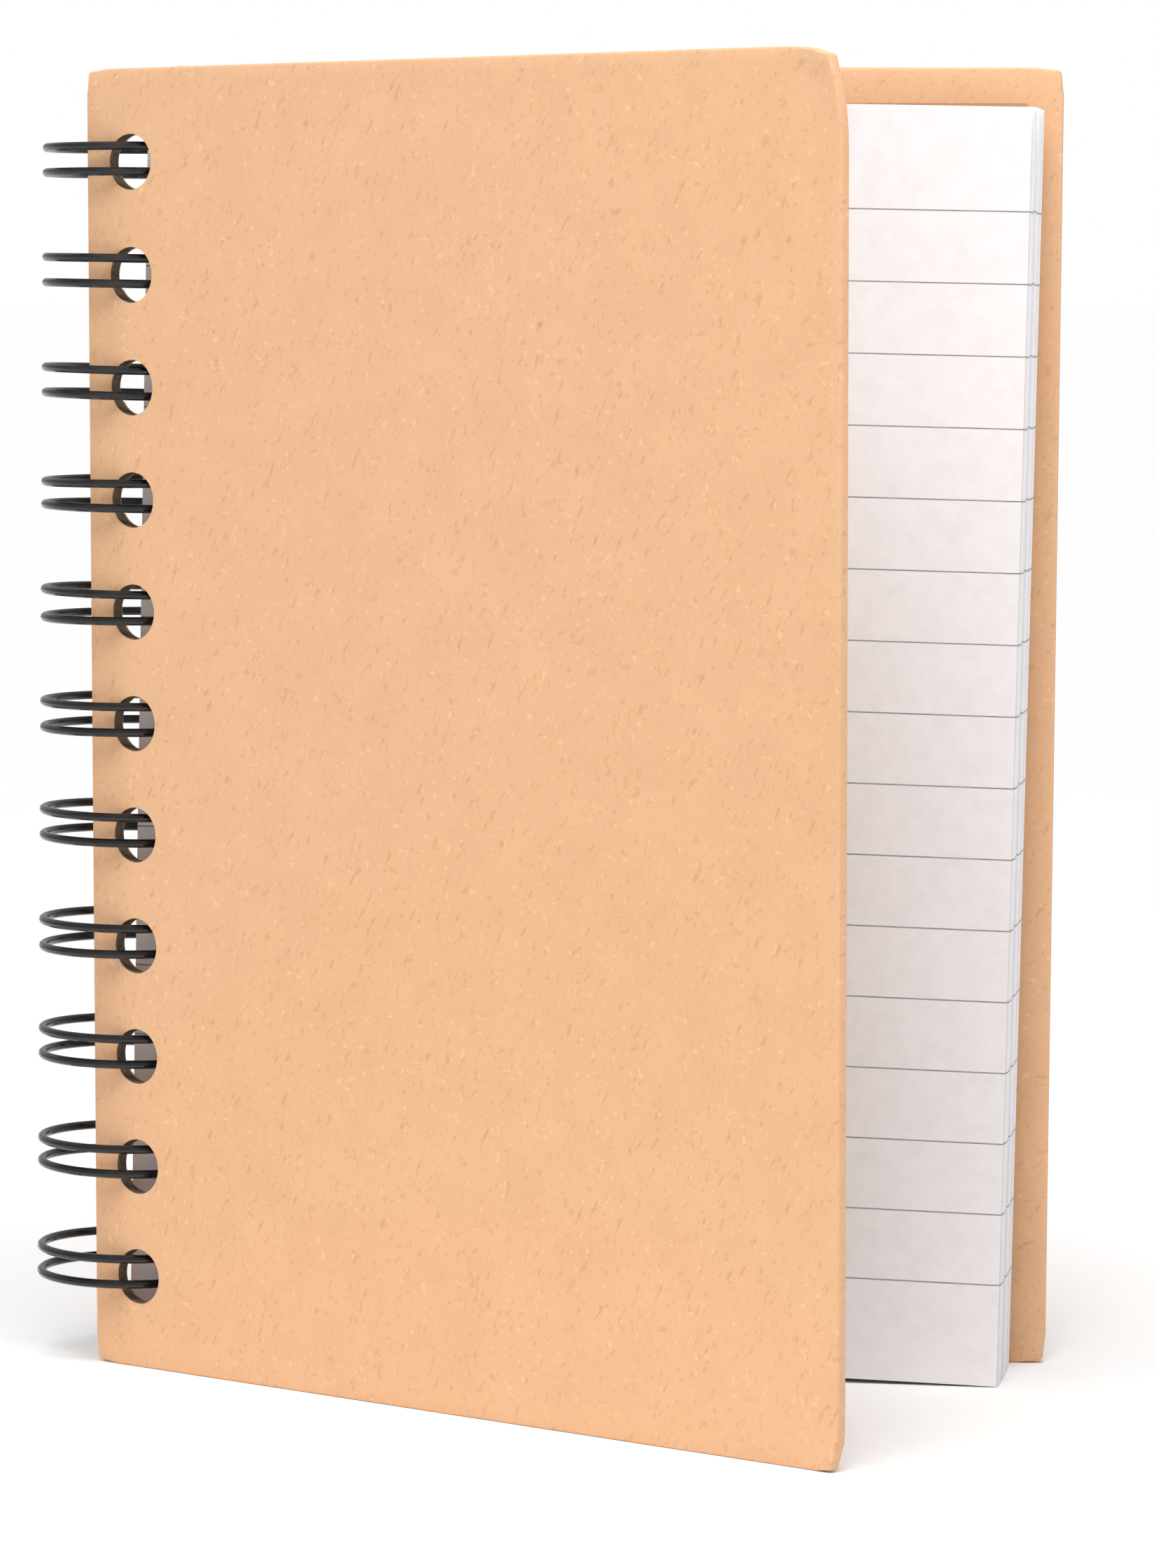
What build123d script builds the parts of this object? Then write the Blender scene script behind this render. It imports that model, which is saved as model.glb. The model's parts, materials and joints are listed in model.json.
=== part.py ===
from build123d import *
from math import asin, cos, degrees, radians, sin
import os

# A pocket notebook with kraft board covers and a twin-loop wire binding, standing open on its lower edges.
# Millimetres, +Z up. The origin is the bottom centre of the whole notebook's bounding box.
# Every leaf and cover turns about one axis, the middle line of the wire rings.

# covers
cover_width = 105.0
cover_height = 148.0
board_thickness = 1.3
kraft_thickness = 0.12
turn_in_width = 15.0
liner_inset = 4.0
cover_hole_inset = 6.65

# wire binding and punching
loop_count = 11
loop_pitch = 12.7
wire_diameter = 1.0
ring_radius = 10.3
strand_spacing = 2.9
base_bend_radius = 1.0
tip_gap = 0.15
hole_diameter = 6.2

# sheets
sheet_width = 100.5
sheet_height = cover_height - 5.0
sheet_thickness = 0.1
sheet_hole_inset = 7.0
single_sheets = 3
sheets_in_leaf = 10
leaves_in_front = 3
leaves_in_middle = 4
leaves_in_rear = 3
leaf_gap = 0.03

# room between the sheets and the covers
front_cover_gap = 0.75
rear_cover_gap = 1.2

# how the notebook stands: headings turn about the vertical, 0 along +X and negative towards the front
front_cover_heading = -38.1
first_sheet_heading = -10.5
front_leaves_heading = -10.1
middle_leaves_heading = -9.3
rear_leaves_heading = -8.9
back_cover_heading = -8.5
# in-plane tilt, spine end raised and fore edge down
sheet_tilt = 1.3
back_cover_tilt = 0.5
ring_tilt = 0.8
# how far the ring axis is from each hole line, along the leaf
cover_hole_reach = 7.35
sheet_hole_reach = 9.25
# the wire hangs this far above the middle of the front cover's holes
wire_lift = 0.45

# worked out
wire_radius = wire_diameter / 2
punched_height = (loop_count - 1) * loop_pitch
sheet_foot_margin = (cover_height - punched_height) / 2 - 2.1
cover_thickness = board_thickness + 3 * kraft_thickness
leaf_thickness = sheets_in_leaf * sheet_thickness
leaf_count = leaves_in_front + leaves_in_middle + leaves_in_rear
piece_count = single_sheets + leaf_count
block_thickness = (
    single_sheets * sheet_thickness + leaf_count * leaf_thickness + (piece_count - 1) * leaf_gap
)
stack_height = block_thickness + front_cover_gap + rear_cover_gap
# distances from the ring axis, positive towards the front of the closed notebook
front_cover_face = stack_height / 2
block_front = front_cover_face - front_cover_gap
block_rear = block_front - block_thickness
back_cover_face = -stack_height / 2
front_hole_height = cover_height / 2
ring_height = front_hole_height + wire_lift


def punched_plate(width, height, thickness, hole_inset, foot_margin):
    """A plate in XZ, its spine edge towards -X, with the middle of its hole line at the origin."""
    low = -punched_height / 2 - foot_margin
    plate = Pos(-hole_inset, 0, low) * Box(
        width, thickness, height, align=(Align.MIN, Align.CENTER, Align.MIN)
    )
    return plate - punch(thickness)


def punch(thickness):
    """The row of round cutters that goes through every sheet and cover."""
    cutter = Rot(90, 0, 0) * Cylinder(hole_diameter / 2, thickness + 1)
    first = -punched_height / 2
    return [Pos(0, 0, first + row * loop_pitch) * cutter for row in range(loop_count)]


def centred_box(width, thickness, height, inside):
    """A box centred on the cover, its rear face at the given Y."""
    middle = cover_width / 2 - cover_hole_inset
    return Pos(middle, inside, 0) * Box(
        width, thickness, height, align=(Align.CENTER, Align.MAX, Align.CENTER)
    )


def cover_pieces():
    """A cover's board, kraft wrap and liner, with the outer face towards -Y and the inner face at +Y."""
    inner_face = cover_thickness / 2
    turned_face = inner_face - kraft_thickness
    board_face = turned_face - kraft_thickness
    board_width = cover_width - 2 * kraft_thickness
    board_height = cover_height - 2 * kraft_thickness
    window_width = cover_width - 2 * turn_in_width
    window_height = cover_height - 2 * turn_in_width
    wrapped_thickness = cover_thickness - kraft_thickness
    liner_width = cover_width - 2 * liner_inset
    liner_height = cover_height - 2 * liner_inset

    board = centred_box(board_width, board_thickness, board_height, board_face)
    window = centred_box(window_width, kraft_thickness, window_height, turned_face)
    wrap = centred_box(cover_width, wrapped_thickness, cover_height, turned_face) - board - window
    liner = centred_box(liner_width, kraft_thickness, liner_height, inner_face) + window
    holes = punch(2 * cover_thickness)
    return {"board": board - holes, "wrap": wrap - holes, "liner": liner - holes}


def stand(heading, reach, offset, tilt, height):
    """Carries a plate's hole line from the origin to its place beside the ring axis, in front by the offset."""
    return Pos(0, 0, height) * Rot(0, 0, heading) * Pos(reach, -offset, 0) * Rot(0, tilt, 0)


def standing_height(width, hole_inset, foot_margin, tilt):
    """How high the middle of the hole line is when the tilted plate stands on its lower fore corner."""
    fall = (width - hole_inset) * sin(radians(tilt))
    return fall + (punched_height / 2 + foot_margin) * cos(radians(tilt))


def front_cover():
    offset = front_cover_face + cover_thickness / 2
    place = stand(front_cover_heading, cover_hole_reach, offset, 0, front_hole_height)
    return {f"front_cover_{name}": place * solid for name, solid in cover_pieces().items()}


def back_cover():
    offset = back_cover_face - cover_thickness / 2
    margin = (cover_height - punched_height) / 2
    height = standing_height(cover_width, cover_hole_inset, margin, back_cover_tilt)
    place = stand(back_cover_heading, cover_hole_reach, offset, back_cover_tilt, height)
    pieces = cover_pieces()
    return {f"back_cover_{name}": place * mirror(solid, Plane.XZ) for name, solid in pieces.items()}


def sheet_pieces():
    """Every single sheet and every leaf of ten sheets, front to rear, each on its own lower fore corner."""
    headings = [first_sheet_heading]
    headings += [front_leaves_heading] * (single_sheets - 1 + leaves_in_front)
    headings += [middle_leaves_heading] * leaves_in_middle
    headings += [rear_leaves_heading] * leaves_in_rear
    height = standing_height(sheet_width, sheet_hole_inset, sheet_foot_margin, sheet_tilt)
    pieces = {}
    face = block_front
    for number, heading in enumerate(headings, start=1):
        single = number <= single_sheets
        thickness = sheet_thickness if single else leaf_thickness
        name = f"sheet_{number:02d}" if single else f"leaf_{number - single_sheets:02d}"
        plate = punched_plate(
            sheet_width, sheet_height, thickness, sheet_hole_inset, sheet_foot_margin
        )
        offset = face - thickness / 2
        pieces[name] = stand(heading, sheet_hole_reach, offset, sheet_tilt, height) * plate
        face -= thickness + leaf_gap
    return pieces


def arc_of_wire(radius, height, start, sweep):
    section = Plane.XZ * Pos(radius, height) * Circle(wire_radius)
    return Rot(0, 0, start) * revolve(section, Axis.Z, sweep)


def bend_of_wire(middle, radius, side, sweep):
    """A bend in the plane that touches the ring at +X, from the given side of its middle."""
    section = Plane.XZ * Pos(ring_radius, middle + side * radius) * Circle(wire_radius)
    turning = Axis((ring_radius, 0, middle), (1, 0, 0))
    return revolve(section, turning, sweep)


def wire_binding():
    """One wire: eleven twin loops, joined along the spine by straight runs behind the last sheet."""
    seam_offset = (block_rear + back_cover_face) / 2
    seam = degrees(asin(-seam_offset / ring_radius))
    half = strand_spacing / 2
    run_end = seam - degrees(base_bend_radius / ring_radius)
    tip_start = seam + degrees((wire_diameter + tip_gap + half) / ring_radius)
    sweep = 360 - tip_start + run_end
    strand = arc_of_wire(ring_radius, 0, tip_start, sweep)
    tip = Rot(0, 0, tip_start) * bend_of_wire(0, half, 1, 180)
    run_length = loop_pitch - strand_spacing - 2 * base_bend_radius
    run = Pos(ring_radius, base_bend_radius, 0) * Cylinder(wire_radius, run_length)
    lower_bend = bend_of_wire(-run_length / 2, base_bend_radius, -1, 90)
    upper_bend = bend_of_wire(run_length / 2, base_bend_radius, 1, -90)
    link = Rot(0, 0, run_end) * (lower_bend + run + upper_bend)
    pieces = []
    for row in range(loop_count):
        middle = (row - (loop_count - 1) / 2) * loop_pitch
        pieces += [Pos(0, 0, middle + half) * strand, Pos(0, 0, middle - half) * strand]
        pieces.append(Pos(0, 0, middle) * tip)
        if row < loop_count - 1:
            pieces.append(Pos(0, 0, middle + loop_pitch / 2) * link)
    wire = Part() + pieces
    return {"wire_binding": ring_frame() * wire}


def ring_frame():
    """The ring axis, leaning towards the fore edge of the rear leaves."""
    return Pos(0, 0, ring_height) * Rot(0, 0, rear_leaves_heading) * Rot(0, ring_tilt, 0)


def assembly():
    """Every piece in its place, with the base centre of them all at the origin."""
    pieces = {**front_cover(), **sheet_pieces(), **wire_binding(), **back_cover()}
    box = Compound(children=[Part() + piece for piece in pieces.values()]).bounding_box()
    centre = box.center()
    shift = Pos(-centre.X, -centre.Y, -box.min.Z)
    return {name: shift * piece for name, piece in pieces.items()}, shift


if __name__ == "__main__":
    os.makedirs("parts", exist_ok=True)
    pieces, shift = assembly()
    for name, piece in pieces.items():
        export_step(piece, f"parts/{name}.step")
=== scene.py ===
import json
from math import asin, cos, pi, radians, sin
from random import Random

import bmesh
import bpy
from bpy.props import FloatProperty, FloatVectorProperty, IntProperty
from mathutils import Matrix, Vector


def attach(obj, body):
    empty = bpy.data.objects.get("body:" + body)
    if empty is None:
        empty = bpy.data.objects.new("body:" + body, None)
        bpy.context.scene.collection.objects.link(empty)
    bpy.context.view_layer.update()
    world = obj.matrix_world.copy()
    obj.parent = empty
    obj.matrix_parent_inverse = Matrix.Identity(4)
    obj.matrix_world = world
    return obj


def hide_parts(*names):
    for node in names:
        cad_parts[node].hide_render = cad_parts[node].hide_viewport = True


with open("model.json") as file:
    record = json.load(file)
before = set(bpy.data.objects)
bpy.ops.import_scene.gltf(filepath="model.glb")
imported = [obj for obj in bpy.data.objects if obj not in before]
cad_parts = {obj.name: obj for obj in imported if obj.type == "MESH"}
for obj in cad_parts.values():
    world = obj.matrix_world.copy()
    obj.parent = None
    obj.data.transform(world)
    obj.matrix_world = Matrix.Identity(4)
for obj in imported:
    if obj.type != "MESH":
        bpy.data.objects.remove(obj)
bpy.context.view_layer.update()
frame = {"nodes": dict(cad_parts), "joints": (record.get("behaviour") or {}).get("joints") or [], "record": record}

bl_info = {
    "name": "Kraft wire-bound notebook",
    "version": (1, 0, 0),
    "blender": (4, 5, 0),
    "location": "View3D > Sidebar > Notebook",
    "description": "Builds the covers, ruled sheets, wire binding and stage of a pocket notebook",
    "category": "Add Mesh",
}

AXIS_POINT = Vector(frame["joints"][0]["pos_m"])
MM = 0.001
FILM_WIDTH = 36
COVER_GRID = (70, 98)
COVER_HOLE_SIDES = 48
SHEET_HOLE_SIDES = 28
CUTTER_DEPTH = 10 * MM
UPPER_FOLD = 9 * MM
LOWER_FOLD = 5 * MM
CREASE_PLACE = 6 * MM
CREASE_WIDTH = 1.2 * MM


def linear(code):
    """A hex colour as linear RGBA."""
    parts = [int(code[i:i + 2], 16) / 255 for i in (1, 3, 5)]
    curve = (p / 12.92 if p <= 0.04045 else ((p + 0.055) / 1.055) ** 2.4 for p in parts)
    return tuple(curve) + (1.0,)


def size(name, value, description):
    return FloatProperty(
        name=name, default=value, description=description, unit="LENGTH", precision=5
    )


def turn(name, value, description):
    return FloatProperty(
        name=name, default=radians(value), description=description, subtype="ANGLE"
    )


def colour(name, code, description):
    return FloatVectorProperty(
        name=name, default=linear(code)[:3], description=description, subtype="COLOR", size=3
    )


class NotebookCover(bpy.types.PropertyGroup):
    width: size("Width", 105 * MM, "Cover width, spine edge to fore edge")
    height: size("Height", 148 * MM, "Cover height")
    thickness: size("Thickness", 1.66 * MM, "Whole cover, board and paper")
    paper: size("Kraft paper", 0.12 * MM, "Thickness of one layer of kraft paper")
    hole_inset: size("Hole inset", 6.65 * MM, "Spine edge to the middle of the holes")
    reach: size("Reach", 7.35 * MM, "Ring axis to the hole line, along the cover")
    face: size("Inner face", 6.305 * MM, "Ring axis to a cover's inner face")
    front_heading: turn("Front heading", -38.1, "Heading of the front cover about the vertical")
    back_heading: turn("Back heading", -8.5, "Heading of the back cover about the vertical")
    back_tilt: turn("Back tilt", 0.5, "In-plane tilt of the back cover")
    edge_radius: size("Edge radius", 0.3 * MM, "Roundness of the paper round the board's edges")
    colour: colour("Kraft", "#eabb92", "Middle colour of the kraft paper")
    dark: colour("Dark fibre", "#c08f66", "Dark fibres and blotches in the kraft paper")
    board: colour("Greyboard", "#7d7061", "Colour of the board inside the holes")


class NotebookSheets(bpy.types.PropertyGroup):
    width: size("Width", 100.5 * MM, "Sheet width")
    height: size("Height", 143 * MM, "Sheet height")
    thickness: size("Thickness", 0.085 * MM, "Thickness of one sheet")
    pitch: size("Pitch", 0.1 * MM, "Thickness that one sheet takes in a leaf")
    gap: size("Leaf gap", 0.03 * MM, "Air between two leaves")
    hole_inset: size("Hole inset", 7 * MM, "Spine edge to the middle of the holes")
    foot_margin: size("Foot margin", 8.4 * MM, "Lower edge to the middle of the lowest hole")
    reach: size("Reach", 9.25 * MM, "Ring axis to the hole line, along the sheet")
    front_face: size("Front face", 5.555 * MM, "Ring axis to the face of the first sheet")
    tilt: turn("Tilt", 1.3, "In-plane tilt of the sheets")
    first_heading: turn("First heading", -10.5, "Heading of the first sheet")
    front_heading: turn("Front heading", -10.1, "Heading of the front leaves")
    middle_heading: turn("Middle heading", -9.3, "Heading of the middle leaves")
    rear_heading: turn("Rear heading", -8.9, "Heading of the rear leaves")
    line_pitch: size("Line pitch", 8 * MM, "Distance between two ruled lines")
    line_width: size("Line width", 0.16 * MM, "Thickness of a ruled line")
    lowest_line: size("Lowest line", 11.5 * MM, "Lower edge to the lowest ruled line")
    line_count: IntProperty(name="Lines", default=16, description="Ruled lines on a page")
    colour: colour("Paper", "#f4f2f4", "Colour of the paper")
    ink: colour("Ink", "#6a6870", "Colour of the ruled lines")


class NotebookWire(bpy.types.PropertyGroup):
    loops: IntProperty(name="Loops", default=11, description="Twin loops along the spine")
    pitch: size("Pitch", 12.7 * MM, "Distance between two loops")
    hole_radius: size("Hole radius", 3.1 * MM, "Radius of the punched holes")
    radius: size("Ring radius", 10.3 * MM, "Ring axis to the middle of the wire")
    thickness: size("Wire", 1 * MM, "Diameter of the wire")
    spacing: size("Spacing", 2.9 * MM, "Distance between the two strands of a loop")
    bend: size("Bend", 1 * MM, "Radius of the bends beside the holes")
    seam: size("Seam", 5.705 * MM, "Ring axis to the seam, towards the back cover")
    tip_gap: size("Tip gap", 0.15 * MM, "Air between a loop's tip and the straight run beside it")
    tilt: turn("Tilt", 0.8, "Lean of the ring axis towards the fore edge")
    unevenness: size("Unevenness", 0.22 * MM, "How far a loop strays along the spine")
    colour: colour("Wire colour", "#0b0b0d", "Colour of the coated wire")


class NotebookStage(bpy.types.PropertyGroup):
    distance: size("Distance", 656.15 * MM, "Camera in front of the spine's lower corner")
    sideways: size("Sideways", 55.65 * MM, "Camera to the right of that corner")
    height: size("Height", 122.66 * MM, "Camera above the floor")
    pitch: turn("Pitch", 4.872, "Downward look of the camera")
    roll: turn("Roll", 0.052, "Roll of the camera")
    lens: FloatProperty(
        name="Lens", default=179.21, description="Focal length for a 36 mm wide film, in mm"
    )
    sky: FloatProperty(name="Sky", default=0.5, description="Light from all round")
    sun: FloatProperty(
        name="Sun", default=1.85, description="Strength of the soft sun, watts per square metre"
    )
    lamp: FloatProperty(name="Lamp", default=0.35, description="Power of the overhead lamp, watts")
    floor: colour("Floor", "#fdfdfd", "Colour of the floor and background")


GROUPS = {
    "notebook_cover": NotebookCover,
    "notebook_sheets": NotebookSheets,
    "notebook_wire": NotebookWire,
    "notebook_stage": NotebookStage,
}


def settings(name):
    return getattr(bpy.context.scene, name)


# ---------------------------------------------------------------- places


def punched_half():
    wire = settings("notebook_wire")
    return (wire.loops - 1) * wire.pitch / 2


def place(heading, reach, offset, tilt, height):
    """Carries a plate's hole line from the origin to its place beside the ring axis."""
    foot = Vector((AXIS_POINT.x, AXIS_POINT.y, height))
    turned = Matrix.Translation(foot) @ Matrix.Rotation(heading, 4, "Z")
    return turned @ Matrix.Translation((reach, -offset, 0)) @ Matrix.Rotation(tilt, 4, "Y")


def standing_height(width, hole_inset, foot_margin, tilt):
    """Height of the hole line's middle when a tilted plate stands on its lower fore corner."""
    return (width - hole_inset) * sin(tilt) + (punched_half() + foot_margin) * cos(tilt)


def cover_place(side):
    cover = settings("notebook_cover")
    if side == "front":
        offset = cover.face + cover.thickness / 2
        return place(cover.front_heading, cover.reach, offset, 0, cover.height / 2)
    margin = cover.height / 2 - punched_half()
    height = standing_height(cover.width, cover.hole_inset, margin, cover.back_tilt)
    offset = -cover.face - cover.thickness / 2
    return place(cover.back_heading, cover.reach, offset, cover.back_tilt, height)


# ---------------------------------------------------------------- modelling


def deselect():
    if bpy.context.mode != "OBJECT":
        bpy.ops.object.mode_set(mode="OBJECT")
    bpy.ops.object.select_all(action="DESELECT")


def only(piece):
    deselect()
    piece.select_set(True)
    bpy.context.view_layer.objects.active = piece


def modifier(piece, kind, **values):
    """Adds a modifier, sets it and applies it."""
    only(piece)
    added = piece.modifiers.new(kind.title(), kind)
    for name, value in values.items():
        setattr(added, name, value)
    bpy.ops.object.modifier_apply(modifier=added.name)


def put(piece, matrix):
    """Moves a finished piece to its place and leaves its object at the origin."""
    only(piece)
    piece.matrix_world = matrix
    bpy.ops.object.transform_apply(location=True, rotation=True, scale=True)


def hole_cutter(radius, depth, segments):
    """The row of round cutters, with the middle of the row at the origin."""
    wire = settings("notebook_wire")
    deselect()
    bpy.ops.mesh.primitive_cylinder_add(
        vertices=segments, radius=radius, depth=depth, rotation=(pi / 2, 0, 0),
        location=(0, 0, -punched_half()),
    )
    cutter = bpy.context.object
    bpy.ops.object.transform_apply(location=True, rotation=True, scale=True)
    modifier(
        cutter, "ARRAY", count=wire.loops, use_relative_offset=False, use_constant_offset=True,
        constant_offset_displace=(0, 0, wire.pitch),
    )
    return cutter


def punched(piece, radius, depth, segments):
    cutter = hole_cutter(radius, depth, segments)
    modifier(piece, "BOOLEAN", operation="DIFFERENCE", solver="EXACT", object=cutter)
    bpy.data.objects.remove(cutter)


def upright_grid(name, width, height, inset, low, columns, rows):
    """A grid in XZ whose hole line passes through the origin."""
    deselect()
    middle = (width / 2 - inset, 0, low + height / 2)
    bpy.ops.mesh.primitive_grid_add(
        x_subdivisions=columns, y_subdivisions=rows, size=1, location=middle,
        rotation=(pi / 2, 0, 0),
    )
    piece = bpy.context.object
    piece.name = name
    piece.scale = (width, height, 1)
    bpy.ops.object.transform_apply(location=True, rotation=True, scale=True)
    return piece


def finish_piece(piece, body, material, replaced=()):
    only(piece)
    bpy.ops.object.shade_smooth_by_angle(angle=radians(35))
    piece.data.materials.clear()
    piece.data.materials.append(material)
    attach(piece, body)
    if replaced:
        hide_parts(*replaced)


# ---------------------------------------------------------------- materials


def rgba(values):
    return tuple(values) + (1.0,)


def grain(millimetres):
    """Texture scale of a pattern whose features are about this far apart."""
    return 1 / (millimetres * MM)


class Finish:
    """A node material, its shader and one way to add nodes to it."""

    def __init__(self, name, **values):
        self.material = bpy.data.materials.new(name)
        self.material.use_nodes = True
        self.tree = self.material.node_tree
        self.shader = self.tree.nodes["Principled BSDF"]
        for socket, value in values.items():
            self.shader.inputs[socket.replace("_", " ")].default_value = value

    def add(self, kind, inputs, out=0, stops=(), **choices):
        """Adds a node with its settings and links, and gives back one of its outputs."""
        node = self.tree.nodes.new("ShaderNode" + kind)
        for name, value in choices.items():
            setattr(node, name, value)
        if stops:
            for element, (position, shade) in zip(node.color_ramp.elements, stops):
                element.position = position
                element.color = shade
        for socket, value in inputs.items():
            if isinstance(value, bpy.types.NodeSocket):
                self.tree.links.new(value, node.inputs[socket])
            else:
                node.inputs[socket].default_value = value
        return node.outputs[out]

    def to_shader(self, socket, value):
        self.tree.links.new(value, self.shader.inputs[socket])


def kraft_paper(name, shade):
    """Uncoated machine-made kraft paper."""
    # matt and warm: short dark and pale fibres, drawn coarser than real ones, over soft blotches
    cover = settings("notebook_cover")
    finish = Finish(name, Roughness=0.86, Specular_IOR_Level=0.25)
    position = finish.add("TexCoord", {}, out="Object")
    # A shade below 1 darkens every colour of the paper evenly, as painted shade.
    mid = rgba(c * shade for c in cover.colour)
    dark = rgba(c * shade for c in cover.dark)
    pale = rgba(min(c * shade * 1.25 + 0.02, 1) for c in cover.colour)
    inputs = {"Vector": position, "Scale": grain(6.25), "Detail": 5, "Roughness": 0.6}
    blotch = finish.add("TexNoise", inputs)
    amount = finish.add("Math", {0: blotch, 1: 0.32}, operation="MULTIPLY")
    tone = finish.add("Mix", {"Factor": amount, 6: mid, 7: dark}, out=2, data_type="RGBA")
    fibres = (
        (2 / 3, 0.4, dark, 0.42),
        (10 / 13, 1.9, pale, 0.4),
        (10 / 19, 2.7, dark, 0.34),
        (10 / 11, 1.1, dark, 0.3),
    )
    for spacing, turned, fibre_colour, strength in fibres:
        rotation = (turned, turned * 0.7, turned * 1.3)
        inputs = {"Vector": position, "Rotation": rotation, "Scale": (1, 1, 3.2)}
        drawn_out = finish.add("Mapping", inputs, vector_type="TEXTURE")
        inputs = {"Vector": drawn_out, "Scale": grain(spacing), "Detail": 2, "Roughness": 0.5}
        threads = finish.add("TexNoise", inputs)
        stops = ((0.63, (0, 0, 0, 1)), (0.73, (1, 1, 1, 1)))
        fibre = finish.add("ValToRGB", {"Fac": threads}, stops=stops)
        amount = finish.add("Math", {0: fibre, 1: strength}, operation="MULTIPLY")
        inputs = {"Factor": amount, 6: tone, 7: fibre_colour}
        tone = finish.add("Mix", inputs, out=2, data_type="RGBA")
    finish.to_shader("Base Color", tone)
    inputs = {"Vector": position, "Scale": grain(5 / 7), "Detail": 3, "Roughness": 0.7}
    tooth = finish.add("TexNoise", inputs)
    swell = finish.add("Math", {0: blotch, 1: 0.8}, operation="MULTIPLY")
    height = finish.add("Math", {0: tooth, 1: swell}, operation="ADD")
    inputs = {"Height": height, "Strength": 0.28, "Distance": 0.06 * MM}
    finish.to_shader("Normal", finish.add("Bump", inputs))
    return finish.material


def greyboard(name):
    """Recycled pulp board, cut by the punch."""
    # dull and speckled, rough where the punch went through
    cover = settings("notebook_cover")
    finish = Finish(name, Roughness=0.95, Specular_IOR_Level=0.2)
    position = finish.add("TexCoord", {}, out="Object")
    inputs = {"Vector": position, "Scale": grain(5 / 9), "Detail": 5, "Roughness": 0.7}
    speck = finish.add("TexNoise", inputs)
    dark = rgba(c * 0.45 for c in cover.board)
    stops = ((0.3, dark), (0.7, rgba(cover.board)))
    finish.to_shader("Base Color", finish.add("ValToRGB", {"Fac": speck}, stops=stops))
    inputs = {"Height": speck, "Strength": 0.8, "Distance": 0.1 * MM}
    finish.to_shader("Normal", finish.add("Bump", inputs))
    return finish.material


def ruled_paper(name):
    """White uncoated writing paper, printed with thin lines; its UV map is in metres."""
    # smooth and matt, faintly cloudy, with lines that take ink unevenly
    sheets = settings("notebook_sheets")
    finish = Finish(name, Roughness=0.78, Specular_IOR_Level=0.3)
    up = finish.add("SeparateXYZ", {"Vector": finish.add("UVMap", {})}, out="Y")
    raised = finish.add("Math", {0: up, 1: sheets.lowest_line}, operation="SUBTRACT")
    row = finish.add("Math", {0: raised, 1: sheets.line_pitch}, operation="DIVIDE")
    nearest = finish.add("Math", {0: row}, operation="ROUND")
    off = finish.add("Math", {0: row, 1: nearest}, operation="SUBTRACT")
    off = finish.add("Math", {0: off}, operation="ABSOLUTE")
    half = sheets.line_width / 2 / sheets.line_pitch
    line = finish.add("Math", {0: off, 1: half}, operation="LESS_THAN")
    above = finish.add("Math", {0: row, 1: -0.5}, operation="GREATER_THAN")
    below = finish.add("Math", {0: row, 1: sheets.line_count - 0.5}, operation="LESS_THAN")
    ruled = finish.add("Math", {0: above, 1: below}, operation="MULTIPLY")
    line = finish.add("Math", {0: line, 1: ruled}, operation="MULTIPLY")
    position = finish.add("TexCoord", {}, out="Object")
    inputs = {"Vector": position, "Scale": grain(20 / 9), "Detail": 4, "Roughness": 0.6}
    cloud = finish.add("TexNoise", inputs)
    shaded = rgba(c * 0.94 for c in sheets.colour)
    stops = ((0.25, shaded), (0.6, rgba(sheets.colour)))
    paper = finish.add("ValToRGB", {"Fac": cloud}, stops=stops)
    wetness = finish.add("Math", {0: cloud, 1: 0.5}, operation="MULTIPLY")
    wetness = finish.add("Math", {0: wetness, 1: 0.5}, operation="ADD")
    inked = finish.add("Math", {0: line, 1: wetness}, operation="MULTIPLY")
    inputs = {"Factor": inked, 6: paper, 7: rgba(sheets.ink)}
    finish.to_shader("Base Color", finish.add("Mix", inputs, out=2, data_type="RGBA"))
    inputs = {"Vector": position, "Scale": grain(0.4), "Detail": 3, "Roughness": 0.6}
    inputs = {"Height": finish.add("TexNoise", inputs), "Strength": 0.12, "Distance": 0.04 * MM}
    finish.to_shader("Normal", finish.add("Bump", inputs))
    return finish.material


def coated_wire(name):
    """Steel wire with a gloss black coating."""
    # deep black with a bright streak along each strand, a little uneven
    wire = settings("notebook_wire")
    finish = Finish(
        name, Roughness=0.24, Coat_Weight=0.35, Coat_Roughness=0.08, Specular_IOR_Level=0.35
    )
    position = finish.add("TexCoord", {}, out="Object")
    inputs = {"Vector": position, "Scale": grain(50 / 11), "Detail": 4, "Roughness": 0.6}
    patch = finish.add("TexNoise", inputs)
    worn = rgba(c * 2.2 + 0.004 for c in wire.colour)
    stops = ((0.35, rgba(wire.colour)), (0.75, worn))
    finish.to_shader("Base Color", finish.add("ValToRGB", {"Fac": patch}, stops=stops))
    inputs = {"Value": patch, "To Min": 0.18, "To Max": 0.36}
    finish.to_shader("Roughness", finish.add("MapRange", inputs, out="Result"))
    inputs = {"Vector": position, "Scale": grain(10 / 9), "Detail": 2, "Roughness": 0.5}
    inputs = {"Height": finish.add("TexNoise", inputs), "Strength": 0.1, "Distance": 0.03 * MM}
    finish.to_shader("Normal", finish.add("Bump", inputs))
    return finish.material


# ---------------------------------------------------------------- covers


def smooth_step(value):
    value = min(max(value, 0), 1)
    return value * value * (3 - 2 * value)


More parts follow.
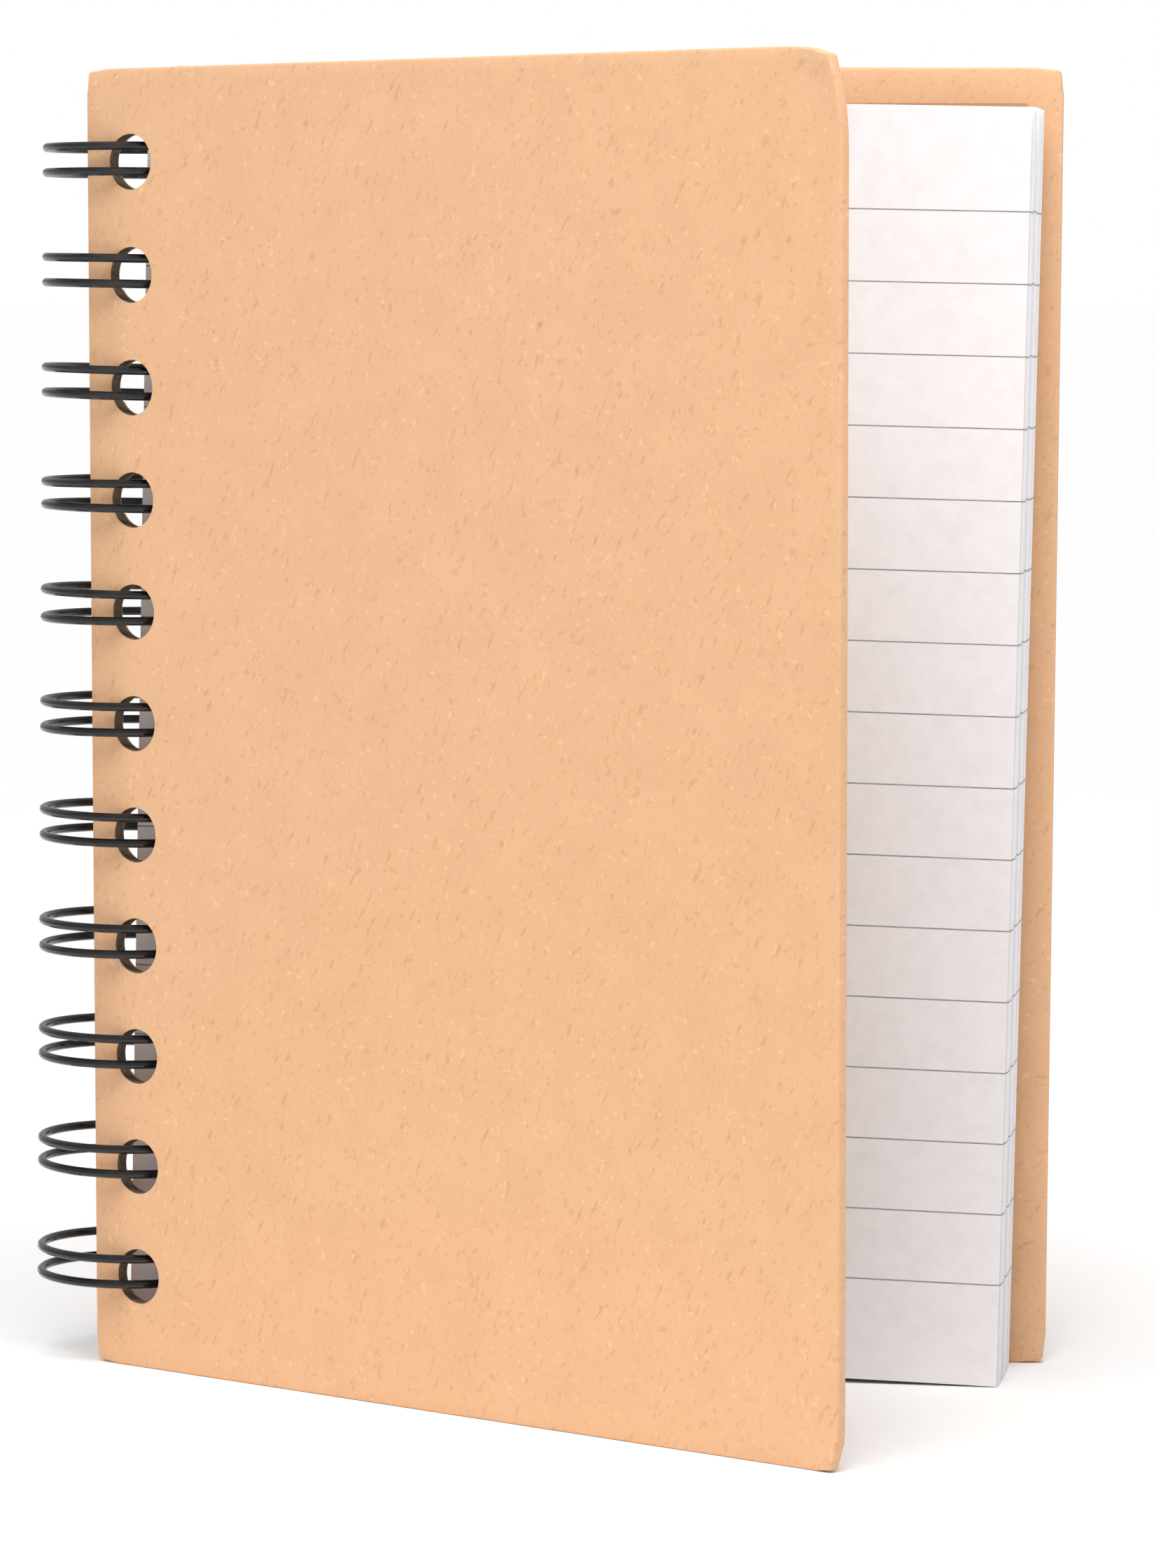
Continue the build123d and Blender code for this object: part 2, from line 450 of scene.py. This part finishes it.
def crumple(piece, outer):
    """Dog-ears the fore corners of a cover: upper one lifted and creased, lower one blunt."""
    cover = settings("notebook_cover")
    mesh = bmesh.new()
    mesh.from_mesh(piece.data)
    for vertex in mesh.verts:
        fore = cover.width - cover.hole_inset - vertex.co.x
        top = cover.height / 2 - vertex.co.z
        foot = cover.height / 2 + vertex.co.z
        upper = smooth_step(1 - (fore + top * 0.8) / UPPER_FOLD)
        crease = smooth_step(1 - abs(fore + top - CREASE_PLACE) / CREASE_WIDTH)
        crease *= smooth_step(1 - top / UPPER_FOLD)
        lower = smooth_step(1 - (fore + foot) / LOWER_FOLD)
        wrinkle = sin(fore / (0.55 * MM)) * cos(top / (0.7 * MM)) * 0.07 * MM * upper
        lift = 0.5 * MM * upper - 0.16 * MM * crease + 0.25 * MM * lower + wrinkle
        vertex.co.y += outer * lift
        vertex.co.x -= 0.9 * MM * upper * upper + 0.5 * MM * lower * lower
        vertex.co.z -= 0.6 * MM * upper * upper
    mesh.to_mesh(piece.data)
    mesh.free()


def blunt_corners(piece):
    """Rounds the corners of a cover a little, as handling does."""
    cover = settings("notebook_cover")
    radius = 1.1 * MM
    mesh = bmesh.new()
    mesh.from_mesh(piece.data)
    for vertex in mesh.verts:
        spine = vertex.co.x + cover.hole_inset
        across = min(spine, cover.width - spine)
        along = cover.height / 2 - abs(vertex.co.z)
        near = smooth_step(1 - (across + along) / (3 * radius)) * 0.28 * radius
        vertex.co.x += near if spine < cover.width / 2 else -near
        vertex.co.z -= near if vertex.co.z > 0 else -near
    mesh.to_mesh(piece.data)
    mesh.free()


def cover_slab(name, side, shrink, thickness, hole_radius):
    """One layer of a cover in its place: a punched slab with rounded edges and handled corners."""
    cover = settings("notebook_cover")
    inward = 1 if side == "front" else -1
    slab = upright_grid(
        name, cover.width - 2 * shrink, cover.height - 2 * shrink, cover.hole_inset - shrink,
        shrink - cover.height / 2, *COVER_GRID,
    )
    blunt_corners(slab)
    modifier(slab, "SOLIDIFY", thickness=thickness, offset=0)
    only(slab)
    bpy.ops.object.mode_set(mode="EDIT")
    bpy.ops.mesh.select_all(action="SELECT")
    bpy.ops.mesh.normals_make_consistent(inside=False)
    bpy.ops.object.mode_set(mode="OBJECT")
    modifier(
        slab, "BEVEL", width=cover.edge_radius, segments=3, limit_method="ANGLE",
        angle_limit=radians(50),
    )
    if side == "front":
        crumple(slab, -inward)
    punched(slab, hole_radius, CUTTER_DEPTH, COVER_HOLE_SIDES)
    put(slab, cover_place(side) @ Matrix.Translation((0, -inward * cover.paper / 2, 0)))
    return slab


class NOTEBOOK_OT_covers(bpy.types.Operator):
    """Wrap both boards in kraft paper and finish the boards and liners"""

    bl_idname = "notebook.covers"
    bl_label = "Covers"

    def execute(self, context):
        cover = settings("notebook_cover")
        wire = settings("notebook_wire")
        kraft = kraft_paper("kraft_outside", 1.0)
        # The liners are the outside kraft paper darkened to 0.7 throughout: painted shade standing in for the
        # shade on the back cover's inner strip.
        painted_shade_liner = kraft_paper("kraft_liner_painted_shade", 0.7)
        board = greyboard("greyboard")
        wrap = cover.thickness - cover.paper
        core = cover.thickness - 3 * cover.paper
        for side in ("front", "back"):
            skin = cover_slab(f"{side}_cover_skin", side, 0, wrap, wire.hole_radius + 0.05 * MM)
            finish_piece(skin, f"{side}_cover", kraft, [f"{side}_cover_wrap"])
            name = f"{side}_cover_core"
            inner = cover_slab(name, side, cover.edge_radius, core, wire.hole_radius)
            finish_piece(inner, f"{side}_cover", board, [f"{side}_cover_board"])
            liner = frame["nodes"][f"{side}_cover_liner"]
            liner.data.materials.clear()
            liner.data.materials.append(painted_shade_liner)
        return {"FINISHED"}


# ---------------------------------------------------------------- sheets


def master_sheet():
    """One punched sheet with its hole line's middle at the origin and a UV map in metres."""
    sheets = settings("notebook_sheets")
    wire = settings("notebook_wire")
    low = -punched_half() - sheets.foot_margin
    sheet = upright_grid("master_sheet", sheets.width, sheets.height, sheets.hole_inset, low, 1, 1)
    modifier(sheet, "SOLIDIFY", thickness=sheets.thickness, offset=0)
    punched(sheet, wire.hole_radius, CUTTER_DEPTH, SHEET_HOLE_SIDES)
    only(sheet)
    while sheet.data.uv_layers:
        sheet.data.uv_layers.remove(sheet.data.uv_layers[0])
    layer = sheet.data.uv_layers.new(name="ruling")
    for loop in sheet.data.loops:
        at = sheet.data.vertices[loop.vertex_index].co
        layer.data[loop.index].uv = (at.x + sheets.hole_inset, at.z - low)
    return sheet


def stacked(master, name, heading, front_face, count, random):
    """A pile of sheets behind the given face, each a hair off its neighbours, as one piece."""
    sheets = settings("notebook_sheets")
    height = standing_height(sheets.width, sheets.hole_inset, sheets.foot_margin, sheets.tilt)
    copies = []
    for number in range(count):
        offset = front_face - (number + 0.5) * sheets.pitch
        copy = master.copy()
        copy.data = master.data.copy()
        bpy.context.collection.objects.link(copy)
        inwards = random.uniform(-0.18, 0.0) * MM
        upwards = random.uniform(0.0, 0.22) * MM
        stray = Matrix.Translation((inwards, 0, upwards))
        put(copy, place(heading, sheets.reach, offset, sheets.tilt, height) @ stray)
        copies.append(copy)
    only(copies[0])
    for copy in copies:
        copy.select_set(True)
    if count > 1:
        bpy.ops.object.join()
    pile = bpy.context.object
    pile.name = name
    return pile


class NOTEBOOK_OT_sheets(bpy.types.Operator):
    """Fill the notebook with ruled sheets, single at the front and in leaves of ten behind"""

    bl_idname = "notebook.sheets"
    bl_label = "Sheets"

    def execute(self, context):
        sheets = settings("notebook_sheets")
        paper = ruled_paper("ruled_paper")
        master = master_sheet()
        random = Random(3)
        heading = {
            "first_sheet": sheets.first_heading,
            "front_leaves": sheets.front_heading,
            "middle_leaves": sheets.middle_heading,
            "rear_leaves": sheets.rear_heading,
        }
        bodies = frame["record"]["behaviour"]["bodies"]
        face = sheets.front_face
        for body in heading:
            for node in sorted(bodies[body], key=lambda name: (name.startswith("leaf"), name)):
                count = 1 if node.startswith("sheet") else 10
                pile = stacked(master, f"{node}_paper", heading[body], face, count, random)
                finish_piece(pile, body, paper, [node])
                face -= count * sheets.pitch + sheets.gap
        bpy.data.objects.remove(master)
        return {"FINISHED"}


# ---------------------------------------------------------------- wire


def wire_route():
    """Points along the one wire, from its lower end to its upper end, in the ring's own frame."""
    wire = settings("notebook_wire")
    random = Random(11)
    half = wire.spacing / 2
    seam = asin(wire.seam / wire.radius)
    run_end = seam - wire.bend / wire.radius
    tip_start = seam + (wire.thickness + wire.tip_gap + half) / wire.radius
    steps = 120
    route = []

    def on_ring(angle, height, stray):
        """A point on the ring, straying most on the side away from the holes."""
        far = (1 - cos(angle - radians(10))) / 2
        height += stray * far * far
        return Vector((wire.radius * cos(angle), wire.radius * sin(angle), height))

    def bend(angle, middle, radius, start, sweep, count):
        """Points on a bend that touches the ring at the given angle."""
        along = Vector((-sin(angle), cos(angle), 0))
        foot = Vector((wire.radius * cos(angle), wire.radius * sin(angle), middle))
        turns = [start + sweep * i / count for i in range(1, count)]
        return [foot + radius * (cos(a) * Vector((0, 0, 1)) + sin(a) * along) for a in turns]

    for row in range(wire.loops):
        middle = (row - (wire.loops - 1) / 2) * wire.pitch
        strays = [random.uniform(-1, 1) * wire.unevenness for _ in range(2)]
        turned = tip_start - 2 * pi
        angles = [run_end + (turned - run_end) * i / steps for i in range(steps + 1)]
        route += [on_ring(angle, middle - half, strays[0]) for angle in angles]
        route += bend(tip_start, middle, half, pi, pi, 12)
        route += [on_ring(angle, middle + half, strays[1]) for angle in reversed(angles)]
        if row < wire.loops - 1:
            low = middle + half + wire.bend
            high = middle + wire.pitch - half - wire.bend
            route += bend(run_end, low, wire.bend, pi, -pi / 2, 5)
            along = Vector((-sin(run_end), cos(run_end), 0)) * wire.bend
            foot = Vector((wire.radius * cos(run_end), wire.radius * sin(run_end), 0)) + along
            route += [foot + Vector((0, 0, low)), foot + Vector((0, 0, high))]
            route += bend(run_end, high, wire.bend, pi / 2, -pi / 2, 5)
    return route


class NOTEBOOK_OT_wire(bpy.types.Operator):
    """Bend one wire into the twin loops of the binding"""

    bl_idname = "notebook.wire"
    bl_label = "Wire binding"

    def execute(self, context):
        wire = settings("notebook_wire")
        sheets = settings("notebook_sheets")
        route = wire_route()
        deselect()
        curve = bpy.data.curves.new("wire_loops", "CURVE")
        curve.dimensions = "3D"
        curve.bevel_depth = wire.thickness / 2
        curve.bevel_resolution = 3
        curve.use_fill_caps = True
        spline = curve.splines.new("POLY")
        spline.points.add(len(route) - 1)
        for point, at in zip(spline.points, route):
            point.co = (*at, 1)
        loops = bpy.data.objects.new("wire_loops", curve)
        context.collection.objects.link(loops)
        only(loops)
        bpy.ops.object.convert(target="MESH")
        loops = context.object
        turned = Matrix.Rotation(sheets.rear_heading, 4, "Z") @ Matrix.Rotation(wire.tilt, 4, "Y")
        put(loops, Matrix.Translation(AXIS_POINT) @ turned)
        coating = coated_wire("coated_wire")
        finish_piece(loops, "wire_binding", coating, ["wire_binding"])
        return {"FINISHED"}


# ---------------------------------------------------------------- stage


def soft_sun():
    """A wide sun, high at the front left, that lights floor and covers evenly."""
    stage = settings("notebook_stage")
    light = bpy.data.lights.new("sun", "SUN")
    light.energy = stage.sun
    light.angle = radians(50)
    sun = bpy.data.objects.new("sun", light)
    bpy.context.collection.objects.link(sun)
    sun.rotation_euler = Vector((0.26, 0.42, -1)).to_track_quat("-Z", "Y").to_euler()


def overhead_lamp():
    """A small lamp above the open side, so the pages fade from bright at the top to grey."""
    stage = settings("notebook_stage")
    light = bpy.data.lights.new("overhead", "AREA")
    light.shape = "DISK"
    light.size = 0.14
    light.energy = stage.lamp
    lamp = bpy.data.objects.new("overhead", light)
    bpy.context.collection.objects.link(lamp)
    lamp.location = (0.075, -0.12, 0.34)
    aim = Vector((0.045, 0.0, 0.13)) - lamp.location
    lamp.rotation_euler = aim.to_track_quat("-Z", "Y").to_euler()


def stage_floor():
    stage = settings("notebook_stage")
    finish = Finish("floor", Roughness=0.9, Specular_IOR_Level=0.1)
    position = finish.add("TexCoord", {}, out="Object")
    shade = rgba(c * 0.992 for c in stage.floor)
    inputs = {"Vector": position, "Scale": grain(1000 / 3), "Detail": 2, "Roughness": 0.6}
    cloud = finish.add("TexNoise", inputs)
    stops = ((0.3, shade), (0.7, rgba(stage.floor)))
    finish.to_shader("Base Color", finish.add("ValToRGB", {"Fac": cloud}, stops=stops))
    deselect()
    bpy.ops.mesh.primitive_plane_add(size=60, location=(0, 20, 0))
    floor = bpy.context.object
    floor.name = "stage_floor"
    bpy.ops.object.transform_apply(location=True, rotation=True, scale=True)
    floor.data.materials.append(finish.material)


def daylight():
    stage = settings("notebook_stage")
    world = bpy.data.worlds.new("studio")
    world.use_nodes = True
    tree = world.node_tree
    back = tree.nodes["Background"]
    rays = tree.nodes.new("ShaderNodeLightPath")
    strength = tree.nodes.new("ShaderNodeMapRange")
    strength.inputs["To Min"].default_value = stage.sky
    strength.inputs["To Max"].default_value = 1.0
    tree.links.new(rays.outputs["Is Camera Ray"], strength.inputs["Value"])
    tree.links.new(strength.outputs["Result"], back.inputs["Strength"])
    back.inputs["Color"].default_value = (1, 1, 1, 1)
    bpy.context.scene.world = world


def camera():
    stage = settings("notebook_stage")
    cover = settings("notebook_cover")
    corner = Vector((-cover.hole_inset, -cover.thickness / 2, -cover.height / 2))
    corner = cover_place("front") @ corner
    lens = bpy.data.cameras.new("camera")
    lens.sensor_fit = "HORIZONTAL"
    lens.sensor_width = FILM_WIDTH
    lens.lens = stage.lens
    lens.clip_start = 0.01
    eye = bpy.data.objects.new("camera", lens)
    bpy.context.collection.objects.link(eye)
    eye.location = corner + Vector((stage.sideways, -stage.distance, stage.height))
    look = Matrix.Rotation(pi / 2 - stage.pitch, 4, "X") @ Matrix.Rotation(-stage.roll, 4, "Z")
    eye.rotation_euler = look.to_euler()
    bpy.context.scene.camera = eye


class NOTEBOOK_OT_stage(bpy.types.Operator):
    """Set the floor, soft studio light and camera"""

    bl_idname = "notebook.stage"
    bl_label = "Stage"

    def execute(self, context):
        stage_floor()
        daylight()
        soft_sun()
        overhead_lamp()
        camera()
        context.scene.view_settings.view_transform = "Standard"
        return {"FINISHED"}


OPERATORS = (NOTEBOOK_OT_covers, NOTEBOOK_OT_sheets, NOTEBOOK_OT_wire, NOTEBOOK_OT_stage)


class NOTEBOOK_PT_panel(bpy.types.Panel):
    """Lists the steps that build the notebook"""

    bl_label = "Notebook"
    bl_idname = "NOTEBOOK_PT_panel"
    bl_space_type = "VIEW_3D"
    bl_region_type = "UI"
    bl_category = "Notebook"

    def draw(self, context):
        for name in GROUPS:
            box = self.layout.box()
            group = getattr(context.scene, name)
            for value in group.__annotations__:
                box.prop(group, value)
        for operator in OPERATORS:
            self.layout.operator(operator.bl_idname)


def register():
    for name, group in GROUPS.items():
        bpy.utils.register_class(group)
        setattr(bpy.types.Scene, name, bpy.props.PointerProperty(type=group))
    for cls in (*OPERATORS, NOTEBOOK_PT_panel):
        bpy.utils.register_class(cls)


def unregister():
    for cls in (NOTEBOOK_PT_panel, *reversed(OPERATORS)):
        bpy.utils.unregister_class(cls)
    for name, group in GROUPS.items():
        delattr(bpy.types.Scene, name)
        bpy.utils.unregister_class(group)


def main():
    register()
    bpy.ops.notebook.covers()
    bpy.ops.notebook.sheets()
    bpy.ops.notebook.wire()
    bpy.ops.notebook.stage()


if __name__ == "__main__":
    main()
